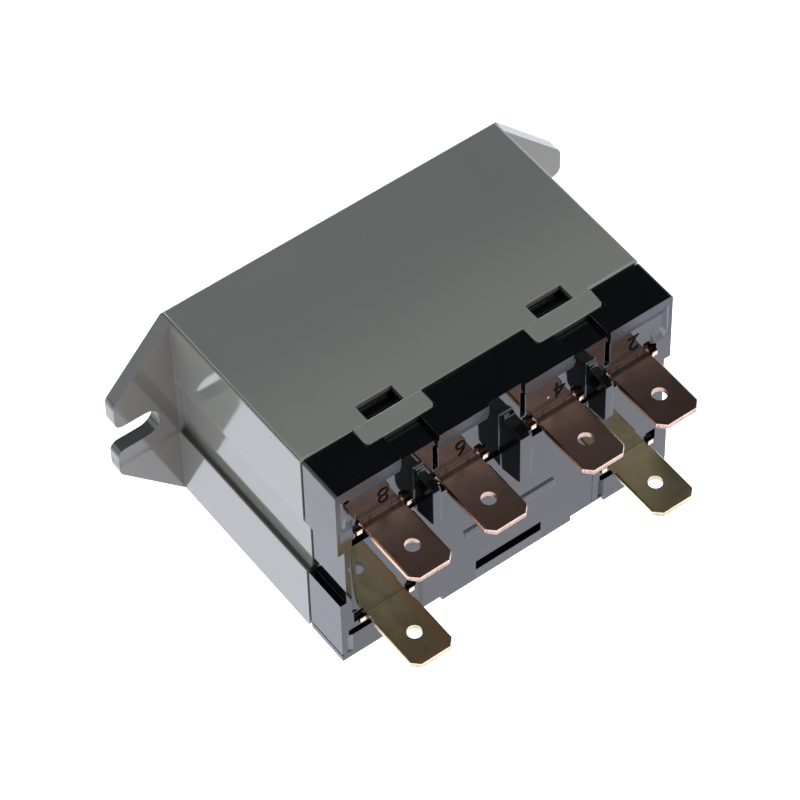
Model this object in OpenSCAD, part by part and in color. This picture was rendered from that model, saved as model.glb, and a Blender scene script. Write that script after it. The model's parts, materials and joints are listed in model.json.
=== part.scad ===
// Flange-mounted power relay with four load blades, two coil blades and two double-break contacts.
// X runs across the terminals, Y towards the mounting face and Z up through the broad faces.
// Depths are measured from the mounting face towards the blade tips.

/* [Housing] */
// Width of the housing
body_w = 50.3; // [50:0.1:64]
// Height of the housing between its two broad faces
body_h = 33; // [32.6:0.1:42]
// Depth of the mounting face to the open end of the cover
cover_depth = 28.45; // [27.6:0.05:28.6]
// Depth of the mounting face to the terminal face
front_depth = 35.3; // [35:0.1:44]
// Wall of the cover
wall = 1.4; // [1.1:0.05:1.6]
// Back wall of the cover
back_wall = 1.8; // [1.4:0.1:2]
// How far the waist is sunk into each narrow side
waist_sink = 0.93; // [0.4:0.01:1.2]
// Height of the waist's lower ledge
waist_low = 11.45; // [9:0.05:13]
// Height of the waist's upper edge
waist_high = 21.4; // [19:0.1:21.6]
// Height of the sloped step at the top of the waist on the cover
waist_ramp = 1.7; // [0.4:0.1:3]

/* [Flanges] */
// Thickness of the mounting flanges
flange_t = 1.85; // [1.4:0.05:3]
// How far each flange reaches out of the housing's side
flange_reach = 9.1; // [8.5:0.1:14]
// Height of the flange's tip edge
flange_tip_h = 12.9; // [10:0.1:16]
// Distance from the housing's side to the centre of the slot's round end
slot_out = 4.85; // [4:0.05:5.2]
// Width of the slots
slot_w = 4.4; // [3.4:0.1:5.5]
// Radius on the flange's tip corners
tip_r = 1.6; // [0.5:0.1:2.5]
// Radius on the corners of the slot's mouth
mouth_r = 1.2; // [0.4:0.1:1.6]

/* [Snap loops] */
// Distance from the middle to the centre of each snap loop
loop_x = 12.62; // [11:0.01:13]
// Width of each snap loop
loop_w = 10; // [7:0.1:11]
// How far the loop reaches past the cover's end
loop_reach = 2.9; // [2:0.05:3.5]
// Thickness of the loop
loop_t = 1; // [0.7:0.05:1.2]
// Width of the loop's window
window_w = 5.25; // [4:0.05:6.5]
// Depth-wise length of the loop's window
window_l = 2.55; // [1.8:0.05:3]
// Distance from the cover's end back to the window
window_back = 0.15; // [0.1:0.05:0.5]

/* [Base] */
// Thickness of the terminal face
front_wall = 2.3; // [1.8:0.1:3]
// Wall of the base's rim
rim_wall = 1.8; // [1.6:0.1:2.2]
// How much smaller than the cover the base's rim is on every side
rim_inset = 0.05; // [0:0.01:0.2]
// Gap between the cover's end and the base's rim
seam_gap = 0.4; // [0.1:0.05:0.6]
// Clearance between the base's skirt and the cover
skirt_fit = 0.15; // [0.05:0.01:0.3]
// Wall of the skirt
skirt_t = 1.3; // [1:0.1:1.6]
// How far the skirt reaches into the cover
skirt_l = 4.3; // [3.5:0.1:6]
// Thickness of the arms that carry the snap hooks
hook_arm_t = 0.8; // [0.6:0.05:1]
// Depth of the recessed bay round the load blades
bay_sink = 0.4; // [0.2:0.05:0.8]
// Distance from the bay's ends to the sides of the housing
bay_side = 1.25; // [1:0.05:1.6]
// Height of the bay's lower edge
bay_low = 22.4; // [22:0.1:23]
// Distance from the bay's upper edge to the top of the housing
bay_top_gap = 1.5; // [0.6:0.1:2.5]
// Width of the bay's openings to the top, one at each barrier
bay_notch_w = 5.3; // [4:0.1:6]
// Depth of the snap panels in front of the loops
panel_sink = 0.9; // [0.5:0.05:1.1]
// Distance between the barriers that stand between the load blades
fin_pitch = 12.9; // [12.6:0.05:13.2]
// Thickness of the middle barrier
fin_t = 1.8; // [1.2:0.1:2.4]
// Thickness of the two outer barriers
side_fin_t = 1.25; // [0.9:0.05:2]
// How far the middle barrier stands out of the terminal face
fin_reach = 3.7; // [2:0.1:6]
// How far the outer barriers stand out
side_fin_reach = 3.35; // [2:0.05:6]
// Height of the middle barrier's top
fin_top = 29.15; // [27:0.05:30]
// Height of the outer barriers' tops
side_fin_top = 28.5; // [27:0.1:30]
// Height of the middle barrier's lower end at the terminal face
fin_low = 19.6; // [18:0.1:22]
// Height of the outer barriers' lower ends
side_fin_low = 21.4; // [20:0.1:23]

/* [Blades] */
// Width of the blades
blade_w = 6.35; // [4.8:0.05:6.5]
// Thickness of the blades
blade_t = 0.8; // [0.5:0.1:1]
// Length of the blades in front of the terminal face
blade_l = 10.3; // [8:0.1:14]
// Chamfer on the blade tips
blade_chamfer = 1; // [0.5:0.1:1.6]
// Radius of the hole in each blade
blade_hole_r = 0.95; // [0.6:0.05:1.2]
// Distance from the tip to the hole
blade_hole_back = 4.35; // [3:0.05:5.5]
// Length of each blade's full-width part
blade_full_l = 8.5; // [6:0.1:9]
// Width of the neck behind it
neck_w = 5.9; // [4:0.1:6.2]
// Width of the terminal plate in the terminal face
shoulder_w = 8.8; // [8.5:0.1:9.2]
// Height of the notches over the lugs of the load plates
load_notch_h = 0.65; // [0.3:0.05:1.2]
// Height of the notches over the lugs of the coil plates
coil_notch_h = 1.1; // [0.3:0.05:1.5]
// Height of the slot below each plate's left end
under_slot_h = 1.25; // [0.6:0.05:1.3]
// Depth of the notches and of the slots below the plates
notch_sink = 1.2; // [0.6:0.1:1.4]
// Width of each staking lug
lug_w = 1.2; // [0.6:0.1:1.2]
// How far the lugs stand out of the terminal face
lug_reach = 0.6; // [0.3:0.05:1.2]
// Width of the plates inside the housing
inner_w = 7; // [6:0.1:7.2]
// Distance from the middle to the inner load blades
load_x_inner = 7.28; // [7.1:0.01:7.4]
// Distance from the middle to the outer load blades
load_x_outer = 18.51; // [18.3:0.01:18.7]
// Height of the load blades' middle plane
load_z = 24.55; // [24.3:0.05:24.8]
// Distance from the middle to the coil blades
coil_x = 18.55; // [16:0.05:18.7]
// Height of the coil blades' middle plane
coil_z = 7; // [6:0.1:9]

/* [Contacts] */
// Distance from the terminal face back to the line of contacts
contact_back = 10.8; // [10.4:0.1:11.2]
// Radius of the contact rivets
contact_r = 1.9; // [1.4:0.1:2]
// Height of a contact rivet's head
contact_h = 0.5; // [0.4:0.05:0.6]
// Radius of a contact rivet's shank
shank_r = 0.8; // [0.5:0.1:1]
// Open gap of each contact pair
contact_gap = 1.2; // [1:0.05:1.4]
// Further travel that loads the contact springs
over_travel = 0.5; // [0.2:0.1:0.6]
// Width of the contact bridges
bridge_w = 4.2; // [3.6:0.1:4.8]
// How far a bridge reaches past each of its contacts
bridge_end = 2.2; // [1.7:0.1:2.3]
// Thickness of the contact bridges
bridge_t = 0.5; // [0.4:0.1:0.6]
// Free gap between moving pieces
run_gap = 0.3; // [0.2:0.05:0.4]

/* [Card] */
// Thickness of the card's roof and walls
card_t = 0.8; // [0.6:0.05:0.9]
// Width of each cage round a contact bridge
cage_w = 3; // [2.4:0.1:3.2]
// Width of the card's hub
hub_w = 9; // [8:0.1:10]

/* [Magnet] */
// Radius of the core
core_r = 4; // [3:0.1:4.5]
// Radius of the pole face
pole_r = 5.5; // [5:0.1:5.6]
// Thickness of the pole face
pole_t = 2.1; // [1.4:0.1:2.4]
// Thickness of the yoke
yoke_t = 1.8; // [1.4:0.1:2]
// Width of the yoke
yoke_w = 16; // [14:0.1:18]
// Gap between the yoke and the cover's back wall
yoke_back_gap = 0.8; // [0.6:0.1:1.2]
// Gap between the yoke and the cover's lower wall
yoke_low_gap = 0.5; // [0.3:0.1:0.8]
// Length and width of the bobbin's flanges
bobbin_w = 15.4; // [14:0.1:15.6]
// Thickness of the bobbin's flanges
bobbin_flange = 1.2; // [0.8:0.1:1.6]
// Wall of the bobbin's tube
bobbin_wall = 0.9; // [0.6:0.1:1.2]
// Radius of the winding
winding_r = 7.4; // [6:0.1:7.6]
// Thickness of the armature
armature_t = 1.6; // [1.2:0.1:1.8]
// Width of the armature
armature_w = 15; // [13:0.1:16]
// Width of the armature's tongue
tongue_w = 6; // [4:0.1:7]
// Gap that is left under the attracted armature
pole_gap = 0.3; // [0.15:0.05:0.4]

/* [Springs and leads] */
// Wire radius of the return spring
return_wire_r = 0.2; // [0.12:0.01:0.3]
// Coil radius of the return spring
return_coil_r = 1.6; // [1.5:0.1:1.9]
// Turns of the return spring
return_turns = 6; // [4:1:7]
// Wire radius of the contact springs
contact_wire_r = 0.15; // [0.1:0.01:0.2]
// Coil radius of the contact springs
contact_coil_r = 1.1; // [1:0.1:1.2]
// Turns of the contact springs
contact_turns = 4; // [3:1:5]
// Thickness of the hinge spring
leaf_t = 0.25; // [0.15:0.05:0.35]
// Width of the hinge spring
leaf_w = 5; // [3:0.1:8]
// Radius of the coil leads
lead_r = 0.35; // [0.2:0.05:0.5]

/* [Hidden] */
$fn = 48;
eps = 0.01;

// Housing
depth = front_depth + blade_l;
mount_y = depth / 2;
half_w = body_w / 2;
mid_h = body_h / 2;
base_back = cover_depth + seam_gap;
skirt_back = base_back - skirt_l;
inner_face = front_depth - front_wall;
bay_face = front_depth - bay_sink;
bay_half = half_w - bay_side;
bay_slope = 1.4;
bay_end_w = 1.3;
bay_end_low = 26;
bay_r = 0.8;
fin_rise = 0.75;
side_fin_rise = 0.45;
fin_foot = 0.35;
side_fin_foot = 0.7;
fin_foot_slope = [0.05, 0.4];
fin_nose = [0.3, 0.5];
fin_bevel = 0.25;
pad_x = [-6.6, 7.2];
pad_z = [9.95, 11.2];
pad_rise = 0.25;
skirt_out = wall + skirt_fit;
skirt_in = skirt_out + skirt_t;
loop_fit = 0.1;
hook_fit = 0.25;
hook_arm_w = loop_w - 2;
hook_sink = 0.4;
flange_x = half_w + flange_reach;
slot_x = half_w + slot_out;
window_front = cover_depth - window_back;
window_rear = window_front - window_l;

// Terminals
blade_tip = depth;
load_low = load_z - blade_t / 2;
load_high = load_z + blade_t / 2;
coil_low = coil_z - blade_t / 2;
lug_out = shoulder_w / 2;
lug_in = lug_out - lug_w;
stake_slot = 0.4;
notch_side = 0.25;
under_slot_gap = 1;
under_slot_in = 1.5;
load_slot_out = 4.5;
coil_slot_out = [5.5, 4.05];
plate_fit = 0.05;
load_x = [-load_x_outer, -load_x_inner, load_x_inner, load_x_outer];
contact_d = front_depth - contact_back;
plate_margin = 0.7;
plate_back = contact_d - contact_r - plate_margin;
coil_plate_l = 7;
coil_plate_back = inner_face - coil_plate_l;

// Contact levels, from the load plates upwards
fixed_top = load_high + contact_h;
moving_low = fixed_top + contact_gap;
bridge_low = moving_low + contact_h;
bridge_high = bridge_low + bridge_t;
bridge_x = (load_x_inner + load_x_outer) / 2;
bridge_corner = 1.2;
moving_r = contact_r - 0.2;
card_travel = contact_gap + over_travel;
roof_high = body_h - skirt_out - hook_arm_t - run_gap;
roof_low = roof_high - card_t;
rest_gap = 0.1;
spring_seat = 0.05;
cage_low = bridge_low - rest_gap - card_t;
cage_half = bridge_w / 2 + run_gap;

// Magnet, from the mounting face forwards and from the lower wall upwards
yoke_back = back_wall + yoke_back_gap;
yoke_low = wall + yoke_low_gap;
yoke_floor = yoke_low + yoke_t;
pivot_d = yoke_back;
pivot_rise = 0.75;
seat_gap = 0.1;
pivot_z = load_low + pivot_rise;
leg_front = yoke_back + yoke_t;
bobbin_fit = 0.1;
bobbin_back = leg_front + bobbin_fit;
coil_d = bobbin_back + bobbin_w / 2;
bobbin_front = bobbin_back + bobbin_w;
pole_high = pivot_z + seat_gap - pole_gap;
pole_clear = 0.3;
bobbin_high = pole_high - pole_t - pole_clear;
bobbin_bore = core_r + bobbin_fit;
tube_r = bobbin_bore + bobbin_wall;
post_x = 5.4;
post_w = 2;
post_l = 1.3;
post_h = 2.5;
winding_low = yoke_floor + bobbin_flange;
winding_high = bobbin_high - bobbin_flange;
ear_w = 1.5;
ear_h = 1.7;
ear_notch = 2.4;
armature_heel = 0.4;
solder_gap = 0.03;
lead_rise = 1.5;
lead_in = 1.6;
leaf_low = 15.5;
leaf_rise = 1.5;
leaf_reach = 5;
leaf_foot = 1.2;
rivet_z = [17.5, 21.5];
rivet_r = 0.7;
rivet_l = 0.5;

// Card and armature: the hub takes the armature's tongue
hub_front = plate_back - run_gap;
hub_back = coil_d + pole_r + run_gap;
hub_wall = 1.4;
tongue_front = hub_front - hub_wall;
armature_front = coil_d + pole_r;
drive_d = (hub_back + tongue_front) / 2;
open_angle = asin(card_travel / (drive_d - pivot_d));
tongue_low = pivot_z + seat_gap + card_travel;
throat_play = [0.1, 0.25];
throat_low = tongue_low - run_gap - throat_play[0];
throat_high = tongue_low + armature_t + run_gap + throat_play[1];
hub_floor = 1.5;
hub_low = throat_low - hub_floor;
roof_front = 2.4;
key_t = 0.9;
key_back = 2;
key_front_gap = 2.2;
key_drop = 2.6;

// Decks and rails inside the base
deck_t = 2.15;
deck_low = load_low - deck_t;
join = 0.05;
deck_half = half_w - skirt_in - waist_sink + join;
shelf_t = 2;
shelf_side = 0.5;
rail_t = 1.55;
rail_rise = 0.7;
rail_back = 5;
divider_t = 1;
guide_t = 1.6;
guide_fit = 0.2;
guide_back = 2.7;
spring_post_r = 1.1;
spring_post_h = [2.2, 0.9, 0.6];

// Cuts in the terminal face: two x, two heights and how deep
side = -half_w;
FACE_CUTS = [
    [-10.7, -10, 26.3, 31, front_wall + 1],
    [2.3, 3, 26.3, 31, front_wall + 1],
    [15.1, 15.8, 26.3, 31, front_wall + 1],
    [side + 1.35, side + 2.15, 30, 30.9, 1.4],
    [13.2, 13.4, 1.5, 7.2, 0.15],
    [-4.8, 5.3, 2, 3.7, 1.6]
];
// Grooves with a slanting floor in the terminal face: two x and two heights
GROOVES = [
    [side + 1.75, side + 2.75, 8.7, 21.7],
    [side + 0.8, side + 1.65, 1.2, 4.4],
    [14.3, 15.15, 1.3, 4.6],
    [-13.5, -12.7, -1, 8]
];
groove_sink = 0.28;
// Fine lines along the narrow sides of the base: height, width and depth
side_line = [1, 0.25, 0.25];

function unit(v) = v / norm(v);
function turn(a) = a > 180 ? a - 360 : a < -180 ? a + 360 : a;
function corner(a, b, c, r, n) = r == 0 ? [b] :
    let (
        u = unit(a - b),
        v = unit(c - b),
        half = acos(u * v) / 2,
        m = b + unit(u + v) * r / sin(half),
        s = b + u * r / tan(half) - m,
        e = b + v * r / tan(half) - m,
        start = atan2(s[1], s[0]),
        sweep = turn(atan2(e[1], e[0]) - start)
    )
    [for (i = [0 : n]) m + r * [cos(start + sweep * i / n), sin(start + sweep * i / n)]];
// An outline whose corners are rounded to the radii given, one for each point
function rounded(points, radii, n = 6) = let (k = len(points))
    [for (i = [0 : k - 1]) each corner(points[(i + k - 1) % k], points[i], points[(i + 1) % k], radii[i], n)];
// A closed outline from its right half
function mirrored(points) = concat(points,
    [for (i = [len(points) - 1 : -1 : 0]) [-points[i][0], points[i][1]]]);
function helix(r, low, high, turns, steps = 14) = [for (i = [0 : turns * steps])
    let (a = 360 * i / steps) [r * cos(a), r * sin(a), low + (high - low) * i / (turns * steps)]];
function bezier(p, n) = [for (i = [0 : n]) let (t = i / n, s = 1 - t)
    s * s * s * p[0] + 3 * s * s * t * p[1] + 3 * s * t * t * p[2] + t * t * t * p[3]];

module both_sides() {
    children();
    mirror([1, 0, 0]) children();
}

// Turns a piece drawn on the lower broad face over to the upper one if up is 1
module flip(up) {
    translate([0, 0, up * body_h]) mirror([0, 0, up]) children();
}

// A box between two x, two depths and two heights
module slab(x0, x1, d0, d1, z0, z1) {
    translate([x0, mount_y - d1, z0]) cube([x1 - x0, d1 - d0, z1 - z0]);
}

// An outline in x and z, drawn from one depth to another
module section(d0, d1) {
    translate([0, mount_y - d0, 0]) rotate([90, 0, 0]) linear_extrude(d1 - d0) children();
}

// An outline in minus depth and z, drawn from one x to another
module across(x0, x1) {
    translate([x0, mount_y, 0]) rotate([90, 0, 90]) linear_extrude(x1 - x0) children();
}

// An outline in x and minus depth, drawn upwards from one height
module plate(z, t) {
    translate([0, mount_y, z]) linear_extrude(t) children();
}

module upright(x, d, z, h, r) {
    translate([x, mount_y - d, z]) cylinder(h = h, r = r);
}

// A round wire along a path
module wire(path, r, sides = 8) {
    last = len(path) - 1;
    rings = [for (i = [0 : last])
        let (
            t = unit(path[min(i + 1, last)] - path[max(i - 1, 0)]),
            n = unit(cross(t, [0, 0, 1])),
            b = cross(n, t)
        )
        for (k = [0 : sides - 1]) path[i] + r * (cos(360 * k / sides) * n + sin(360 * k / sides) * b)];
    walls = [for (i = [0 : last - 1]) for (k = [0 : sides - 1])
        let (j = (k + 1) % sides)
        [i * sides + k, i * sides + j, (i + 1) * sides + j, (i + 1) * sides + k]];
    ends = [[for (k = [sides - 1 : -1 : 0]) k], [for (k = [0 : sides - 1]) last * sides + k]];
    polyhedron(rings, concat(walls, ends));
}

// Section of the housing, drawn in by e, with its waist sunk into both narrow sides
module body_section(e, ramp = waist_ramp) {
    polygon(mirrored([
        [half_w - e, e],
        [half_w - e, waist_low - e],
        [half_w - waist_sink - e, waist_low - e],
        [half_w - waist_sink - e, waist_high - ramp + e],
        [half_w - e, waist_high + e],
        [half_w - e, body_h - e]
    ]));
}

module flange() {
    difference() {
        section(0, flange_t) polygon(rounded([
            [half_w - wall, 0],
            [half_w, 0],
            [flange_x, mid_h - flange_tip_h / 2],
            [flange_x, mid_h - slot_w / 2],
            [slot_x, mid_h - slot_w / 2],
            [slot_x, mid_h + slot_w / 2],
            [flange_x, mid_h + slot_w / 2],
            [flange_x, mid_h + flange_tip_h / 2],
            [half_w, body_h],
            [half_w - wall, body_h]
        ], [0, 0, tip_r, mouth_r, 0, 0, mouth_r, tip_r, 0, 0]));
        translate([slot_x, mount_y + 1, mid_h]) rotate([90, 0, 0])
            cylinder(h = flange_t + 2, r = slot_w / 2);
    }
}

// Snap loops on one broad face, without their windows
module loops(z) {
    reach = cover_depth + loop_reach;
    both_sides() plate(z, loop_t) polygon(rounded([
        [loop_x - loop_w / 2, -cover_depth + 1],
        [loop_x - loop_w / 2, -reach],
        [loop_x + loop_w / 2, -reach],
        [loop_x + loop_w / 2, -cover_depth + 1]
    ], [0, 1.5, 1.5, 0]));
}

module cover() {
    color("#74776f") difference() {
        union() {
            section(0, cover_depth) body_section(0);
            both_sides() flange();
            loops(0);
            loops(body_h - loop_t);
        }
        section(back_wall, cover_depth + eps) body_section(wall);
        both_sides() slab(loop_x - window_w / 2, loop_x + window_w / 2, window_rear, window_front,
            -1, body_h + 1);
    }
}

// Rim, skirt and snap hooks that close the cover's open end
module base_shell() {
    difference() {
        section(base_back, front_depth) body_section(rim_inset, 0);
        section(base_back - eps, inner_face) body_section(rim_inset + rim_wall, 0);
    }
    difference() {
        section(skirt_back, base_back + 1) body_section(skirt_out);
        section(skirt_back - eps, base_back + 1 + eps) body_section(skirt_in);
        slab(-half_w + skirt_in + 1, half_w - skirt_in - 1, skirt_back - 1, base_back + 2,
            mid_h, body_h);
    }
    for (up = [0, 1]) flip(up) both_sides() translate([loop_x, 0, 0]) {
        slab(-hook_arm_w / 2, hook_arm_w / 2, window_rear, base_back + 1, skirt_out, skirt_out + hook_arm_t);
        slab(-hook_arm_w / 2, hook_arm_w / 2, base_back, base_back + 1, skirt_out,
            rim_inset + rim_wall + join);
        hook();
    }
}

// Snap hook with its sloped face to the rear
module hook() {
    hook_w = window_w / 2 - hook_fit;
    root = skirt_out + hook_arm_t / 2;
    across(-hook_w, hook_w) polygon([
        [-(window_front - hook_fit), root],
        [-(window_front - hook_fit), hook_sink],
        [-(window_rear + hook_fit), skirt_out],
        [-(window_rear + hook_fit), root]
    ]);
}

// Decks that carry the terminal plates, rails for the yoke, the card's guide and the spring post
module base_inside() {
    slab(-deck_half, deck_half, plate_back, inner_face + eps, deck_low, load_low);
    both_sides() {
        slab(coil_x - inner_w / 2 - shelf_side, coil_x + inner_w / 2, coil_plate_back - shelf_side,
            inner_face + eps, coil_low - shelf_t, coil_low);
        slab(yoke_w / 2 + plate_fit, yoke_w / 2 + plate_fit + rail_t, yoke_back + rail_back,
            inner_face + eps, yoke_low, yoke_floor + rail_rise);
        slab(bridge_x - divider_t / 2, bridge_x + divider_t / 2, contact_d + cage_half + card_t + run_gap,
            inner_face + eps, load_low - eps, roof_low);
        slab(key_t / 2 + guide_fit, key_t / 2 + guide_fit + guide_t, contact_d + guide_back,
            inner_face + eps, load_low - eps, roof_low - card_travel - run_gap);
    }
    upright(0, contact_d, load_low - eps, spring_post_h[0], spring_post_r);
}

// Barrier between two load blades, with a sloped foot, a bevelled nose and a rising lower edge
module fin(x, t, low, rise, top, foot, reach) {
    tip = front_depth + reach;
    across(x - t / 2, x + t / 2) polygon([
        [-(inner_face + 1), low],
        [-front_depth, low],
        [-(tip - fin_bevel), low + rise],
        [-tip, low + rise + fin_bevel],
        [-tip, top - fin_nose[1]],
        [-(tip - fin_nose[0]), top],
        [-(front_depth + fin_foot_slope[1]), top],
        [-(front_depth + fin_foot_slope[0]), top + foot],
        [-(inner_face + 1), top + foot]
    ]);
}

module fins() {
    fin(0, fin_t, fin_low, fin_rise, fin_top, fin_foot, fin_reach);
    for (x = [-fin_pitch, fin_pitch])
        fin(x, side_fin_t, side_fin_low, side_fin_rise, side_fin_top, side_fin_foot, side_fin_reach);
}

// Recessed bay round the load blades, open to the top at each barrier and sloping out at its upper edge
module bay_cut() {
    top = body_h - bay_top_gap;
    section(bay_face, front_depth + 1) polygon(rounded(mirrored([
        [bay_half - bay_end_w, bay_low],
        [bay_half - bay_end_w, bay_end_low],
        [bay_half, bay_end_low],
        [bay_half, top - bay_slope]
    ]), [0, 0, bay_r, 0, 0, bay_r, 0, 0]));
    across(-bay_half, bay_half) polygon([
        [-front_depth - 1, top - bay_slope - eps],
        [-bay_face, top - bay_slope - eps],
        [-bay_face, top - bay_slope],
        [-front_depth, top],
        [-front_depth - 1, top]
    ]);
    for (i = [-1 : 1])
        slab(i * fin_pitch - bay_notch_w / 2, i * fin_pitch + bay_notch_w / 2, bay_face,
            front_depth + 1, bay_low, body_h + 1);
}

// Groove that is deepest at its left edge and runs out at its right one
module groove_cut(g) {
    plate(g[2], g[3] - g[2]) polygon([
        [g[0], -(front_depth - groove_sink)],
        [g[1], -front_depth],
        [g[1], -(front_depth + 1)],
        [g[0], -(front_depth + 1)]
    ]);
}

// Seat of one terminal plate, with the notches over its lugs and the slot below its left end
module terminal_cut(x, low, back, notch_h, slot_out) {
    high = low + blade_t + plate_fit;
    floor_d = front_depth - notch_sink;
    slab(x - shoulder_w / 2 - plate_fit, x + shoulder_w / 2 + plate_fit, inner_face - 1,
        front_depth + 1, low, high);
    slab(x - inner_w / 2 - plate_fit, x + inner_w / 2 + plate_fit, back - plate_fit, inner_face,
        low, high);
    translate([x, 0, 0]) both_sides() slab(lug_in, lug_out + notch_side, floor_d, front_depth + 1,
        low, high + notch_h);
    slab(x - slot_out, x - under_slot_in, floor_d, front_depth + 1, low - under_slot_gap - under_slot_h,
        low - under_slot_gap);
}

module base() {
    color("#15181c") difference() {
        union() {
            difference() {
                base_shell();
                bay_cut();
            }
            base_inside();
            fins();
            slab(pad_x[0], pad_x[1], inner_face + 1, front_depth + pad_rise, pad_z[0], pad_z[1]);
        }
        for (x = load_x) terminal_cut(x, load_low, plate_back, load_notch_h, load_slot_out);
        for (i = [0, 1])
            terminal_cut((2 * i - 1) * coil_x, coil_low, coil_plate_back, coil_notch_h, coil_slot_out[i]);
        for (c = FACE_CUTS) slab(c[0], c[1], front_depth - c[4], front_depth + 1, c[2], c[3]);
        for (g = GROOVES) groove_cut(g);
        both_sides() slab(half_w - side_line[2], half_w + 1, base_back - 1, front_depth + 1,
            side_line[0], side_line[0] + side_line[1]);
        for (up = [0, 1]) flip(up) both_sides() {
            slab(loop_x - loop_w / 2 - loop_fit, loop_x + loop_w / 2 + loop_fit, base_back - 1,
                cover_depth + loop_reach + loop_fit, -1, loop_t + loop_fit);
            slab(loop_x - window_w / 2, loop_x + window_w / 2, cover_depth + loop_reach,
                front_depth + 1, -1, rim_inset + panel_sink);
        }
        slab(-hub_w / 2 - run_gap, hub_w / 2 + run_gap, plate_back - 1, hub_front + run_gap,
            deck_low - 1, load_low + 1);
    }
}

module yoke() {
    color("#9a9d9f") difference() {
        union() {
            slab(-yoke_w / 2, yoke_w / 2, yoke_back, bobbin_front, yoke_low, yoke_floor);
            slab(-yoke_w / 2, yoke_w / 2, yoke_back, leg_front, yoke_low, pivot_z);
            both_sides() slab(yoke_w / 2 - ear_w, yoke_w / 2, yoke_back, leg_front, pivot_z - eps,
                pivot_z + ear_h);
            for (z = rivet_z) translate([0, mount_y - yoke_back - eps, z]) rotate([-90, 0, 0])
                cylinder(h = rivet_l, r = rivet_r);
        }
        upright(0, coil_d, yoke_low - 1, yoke_t + 2, core_r);
    }
}

module core() {
    color("#b4b7b9") {
        upright(0, coil_d, yoke_low, pole_high - yoke_low, core_r);
        upright(0, coil_d, pole_high - pole_t, pole_t, pole_r);
    }
}

module bobbin() {
    lo = bobbin_w / 2;
    r = 1.5;
    square_flange = rounded([[-lo, -lo], [lo, -lo], [lo, lo], [-lo, lo]], [r, r, r, r]);
    color("#e8e2d0") difference() {
        union() {
            for (z = [yoke_floor, winding_high])
                translate([0, mount_y - coil_d, z]) linear_extrude(bobbin_flange) polygon(square_flange);
            upright(0, coil_d, yoke_floor, bobbin_high - yoke_floor, tube_r);
            both_sides() slab(post_x - post_w / 2, post_x + post_w / 2, bobbin_front - 1,
                bobbin_front + post_l, yoke_floor, yoke_floor + post_h);
        }
        upright(0, coil_d, yoke_floor - 1, bobbin_high - yoke_floor + 2, bobbin_bore);
    }
}

// Copper winding, its surface ridged by the turns
module winding() {
    turns = 20;
    step = (winding_high - winding_low) / turns;
    valley = winding_r - 0.2;
    ridges = [for (i = [0 : turns - 1]) each [
        [valley, winding_low + step * i],
        [winding_r, winding_low + step * (i + 0.5)]
    ]];
    color("#a5532a") translate([0, mount_y - coil_d, 0]) rotate_extrude()
        polygon(concat([[tube_r, winding_low]], ridges, [[valley, winding_high], [tube_r, winding_high]]));
}

// Armature in its open position, tipped up about the yoke's rear top edge
module armature() {
    outline = mirrored([
        [armature_w / 2 - ear_w, -armature_heel],
        [armature_w / 2 - ear_w, -ear_notch],
        [armature_w / 2, -ear_notch],
        [armature_w / 2, -(armature_front - pivot_d)],
        [tongue_w / 2, -(armature_front - pivot_d)],
        [tongue_w / 2, -(tongue_front - pivot_d)]
    ]);
    color("#a8abad") translate([0, mount_y - pivot_d, pivot_z]) rotate([-open_angle, 0, 0])
        translate([0, 0, seat_gap]) linear_extrude(armature_t) polygon(outline);
}

// Leaf that is riveted to the yoke and holds the armature's rear edge down
module hinge_spring() {
    top = pivot_z + armature_t + leaf_rise;
    rest = pivot_z + (seat_gap + armature_t) / cos(open_angle) + run_gap;
    end_d = pivot_d + leaf_reach;
    end_z = rest + tan(open_angle) * leaf_reach;
    color("#c3c6c8") difference() {
        across(-leaf_w / 2, leaf_w / 2) polygon([
            [-yoke_back, leaf_low],
            [-yoke_back, top - leaf_t],
            [-end_d + leaf_foot, end_z],
            [-end_d, end_z],
            [-end_d, end_z + leaf_t],
            [-end_d + leaf_foot, end_z + leaf_t],
            [-yoke_back + leaf_t, top],
            [-yoke_back + leaf_t, leaf_low]
        ]);
        for (z = rivet_z) translate([0, mount_y - yoke_back - 1, z]) rotate([-90, 0, 0])
            cylinder(h = 2, r = rivet_r);
    }
}

// Card: hub round the armature's tongue, roof, two cages for the bridges and a key in the guide
module card() {
    cage_out = cage_half + card_t;
    color("#efe9d8") difference() {
        union() {
            slab(-hub_w / 2, hub_w / 2, hub_back, hub_front, hub_low, roof_high);
            slab(-hub_w / 2, hub_w / 2, hub_front - eps, contact_d + roof_front, roof_low, roof_high);
            slab(-bridge_x - cage_w / 2, bridge_x + cage_w / 2, contact_d - cage_out, contact_d + cage_out,
                roof_low, roof_high);
            both_sides() {
                for (s = [-1, 1]) let (c = contact_d + s * (cage_half + card_t / 2))
                    slab(bridge_x - cage_w / 2, bridge_x + cage_w / 2, c - card_t / 2, c + card_t / 2,
                        cage_low, roof_high);
                slab(bridge_x - cage_w / 2, bridge_x + cage_w / 2, contact_d - cage_out,
                    contact_d + cage_out, cage_low, cage_low + card_t);
                upright(bridge_x, contact_d, roof_low - spring_post_h[2], spring_post_h[2] + eps,
                    contact_coil_r - 2 * contact_wire_r);
            }
            upright(0, contact_d, roof_low - spring_post_h[1], spring_post_h[1] + eps, spring_post_r);
            slab(-key_t / 2, key_t / 2, contact_d + key_back, inner_face - key_front_gap,
                roof_low - key_drop, roof_high);
        }
        slab(-tongue_w / 2 - run_gap, tongue_w / 2 + run_gap, hub_back - 1, tongue_front + run_gap,
            throat_low, throat_high);
    }
}

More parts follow.
